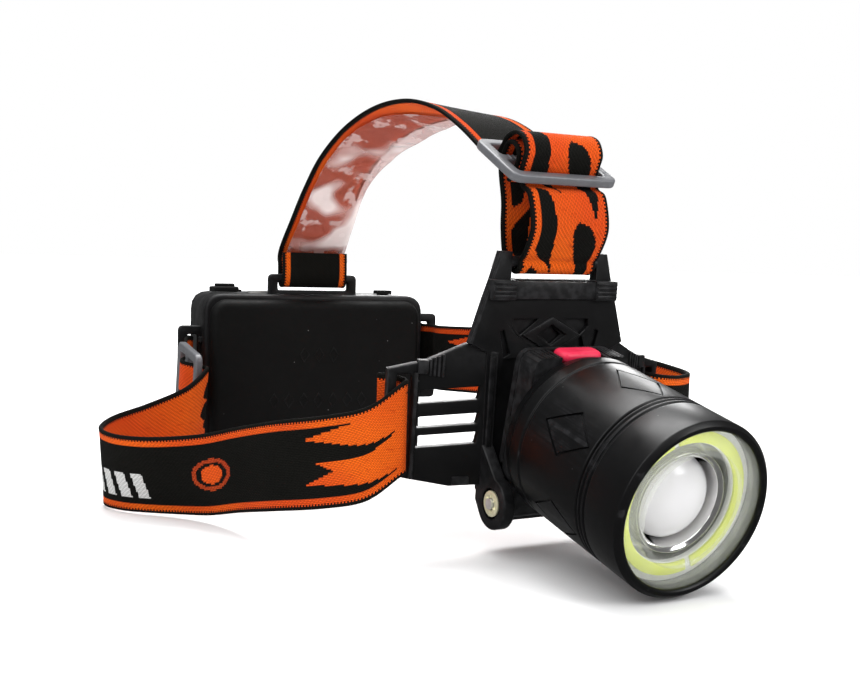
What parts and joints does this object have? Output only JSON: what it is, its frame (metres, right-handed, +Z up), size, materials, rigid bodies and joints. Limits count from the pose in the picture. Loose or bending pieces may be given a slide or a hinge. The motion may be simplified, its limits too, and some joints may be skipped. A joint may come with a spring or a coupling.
{
  "type": "headlamp",
  "caption": "Zooming headlamp on a swept front bracket, with a rear battery box, two side straps and a top strap of elastic webbing.",
  "frame": {"origin": "on the surface the headlamp lies on, under the middle of its bounding box", "axes": "+Z up, the lamp shines towards -Y, +X is the wearer's left"},
  "size_m": [0.1694, 0.24, 0.1276],
  "materials": {
    "black_plastic": "moulded black ABS, fine matt grain",
    "black_anodised": "satin black anodised",
    "rubber": "matt black rubber",
    "button_rubber": "red silicone rubber, satin",
    "clear": "clear moulded optic, polished",
    "chrome": "vacuum-plated reflector",
    "phosphor": "yellow-green phosphor coat",
    "white_board": "white solder mask on an aluminium board",
    "circuit_board": "green glass-epoxy board",
    "zinc": "yellow zinc plating",
    "steel": "nickel-plated steel",
    "aluminium": "turned aluminium",
    "webbing": "elastic jacquard webbing, orange flames on black",
    "grey_plastic": "satin grey acetal",
    "cell_wrap": "heat-shrink sleeve over the cell's can"
  },
  "bodies": {
    "root": {"front_bracket": "black_plastic", "hinge_pin": "zinc", "pin_clip_left": "zinc", "pin_clip_right": "zinc", "battery_case": "black_plastic", "battery_cell_lower": "cell_wrap", "battery_cell_upper": "cell_wrap", "contact_spring_lower": "steel", "contact_spring_upper": "steel", "contact_plate_lower": "steel", "contact_plate_upper": "steel", "charge_board": "circuit_board", "charge_port": "steel", "box_cable_gland": "rubber", "cover_pin": "steel", "front_pad": "rubber", "strap_right": "webbing", "strap_left": "webbing", "strap_top": "webbing", "slider_right": "grey_plastic", "slider_left": "grey_plastic", "slider_top": "grey_plastic"},
    "lamp_head": {"lamp_housing": "black_plastic", "housing_cover": "black_plastic", "housing_screw_1": "steel", "housing_screw_2": "steel", "housing_screw_3": "steel", "housing_screw_4": "steel", "lamp_cable_gland": "rubber", "driver_board": "circuit_board", "tact_switch": "steel", "slide_tube": "aluminium", "o_ring": "rubber", "heat_sink": "aluminium", "led_board": "white_board", "led_emitter": "phosphor"},
    "zoom_head": {"bezel": "black_anodised", "zoom_barrel": "black_anodised", "front_window": "clear", "cob_board": "white_board", "cob_ring": "phosphor", "lens_holder": "chrome", "centre_lens": "clear"},
    "switch_button": {"push_button": "button_rubber"},
    "rear_cover": {"battery_cover": "black_plastic"},
    "charge_plug": {"port_plug": "rubber"}
  },
  "joints": [
    {"name": "lamp_tilt", "type": "hinge", "parent": "root", "child": "lamp_head", "pos_m": [0.01557, -0.05721, 0.0146], "axis": [1, 0, 0], "range_deg": [-5, 70]},
    {"name": "zoom_slide", "type": "slide", "parent": "lamp_head", "child": "zoom_head", "axis": [0, -0.972, -0.2351], "range_m": [0, 0.008]},
    {"name": "button_press", "type": "slide", "parent": "lamp_head", "child": "switch_button", "axis": [0, 0.2351, -0.972], "range_m": [0, 0.0009], "stiffness_N_per_m": 900},
    {"name": "cover_open", "type": "hinge", "parent": "root", "child": "rear_cover", "pos_m": [0.0108, 0.1103, 0.0026], "axis": [-0.9903, 0.1392, 0], "range_deg": [0, 85]},
    {"name": "plug_close", "type": "hinge", "parent": "root", "child": "charge_plug", "pos_m": [-0.01638, 0.10084, 0.0657], "axis": [0.1392, 0.9903, 0], "range_deg": [0, 178]}
  ]
}
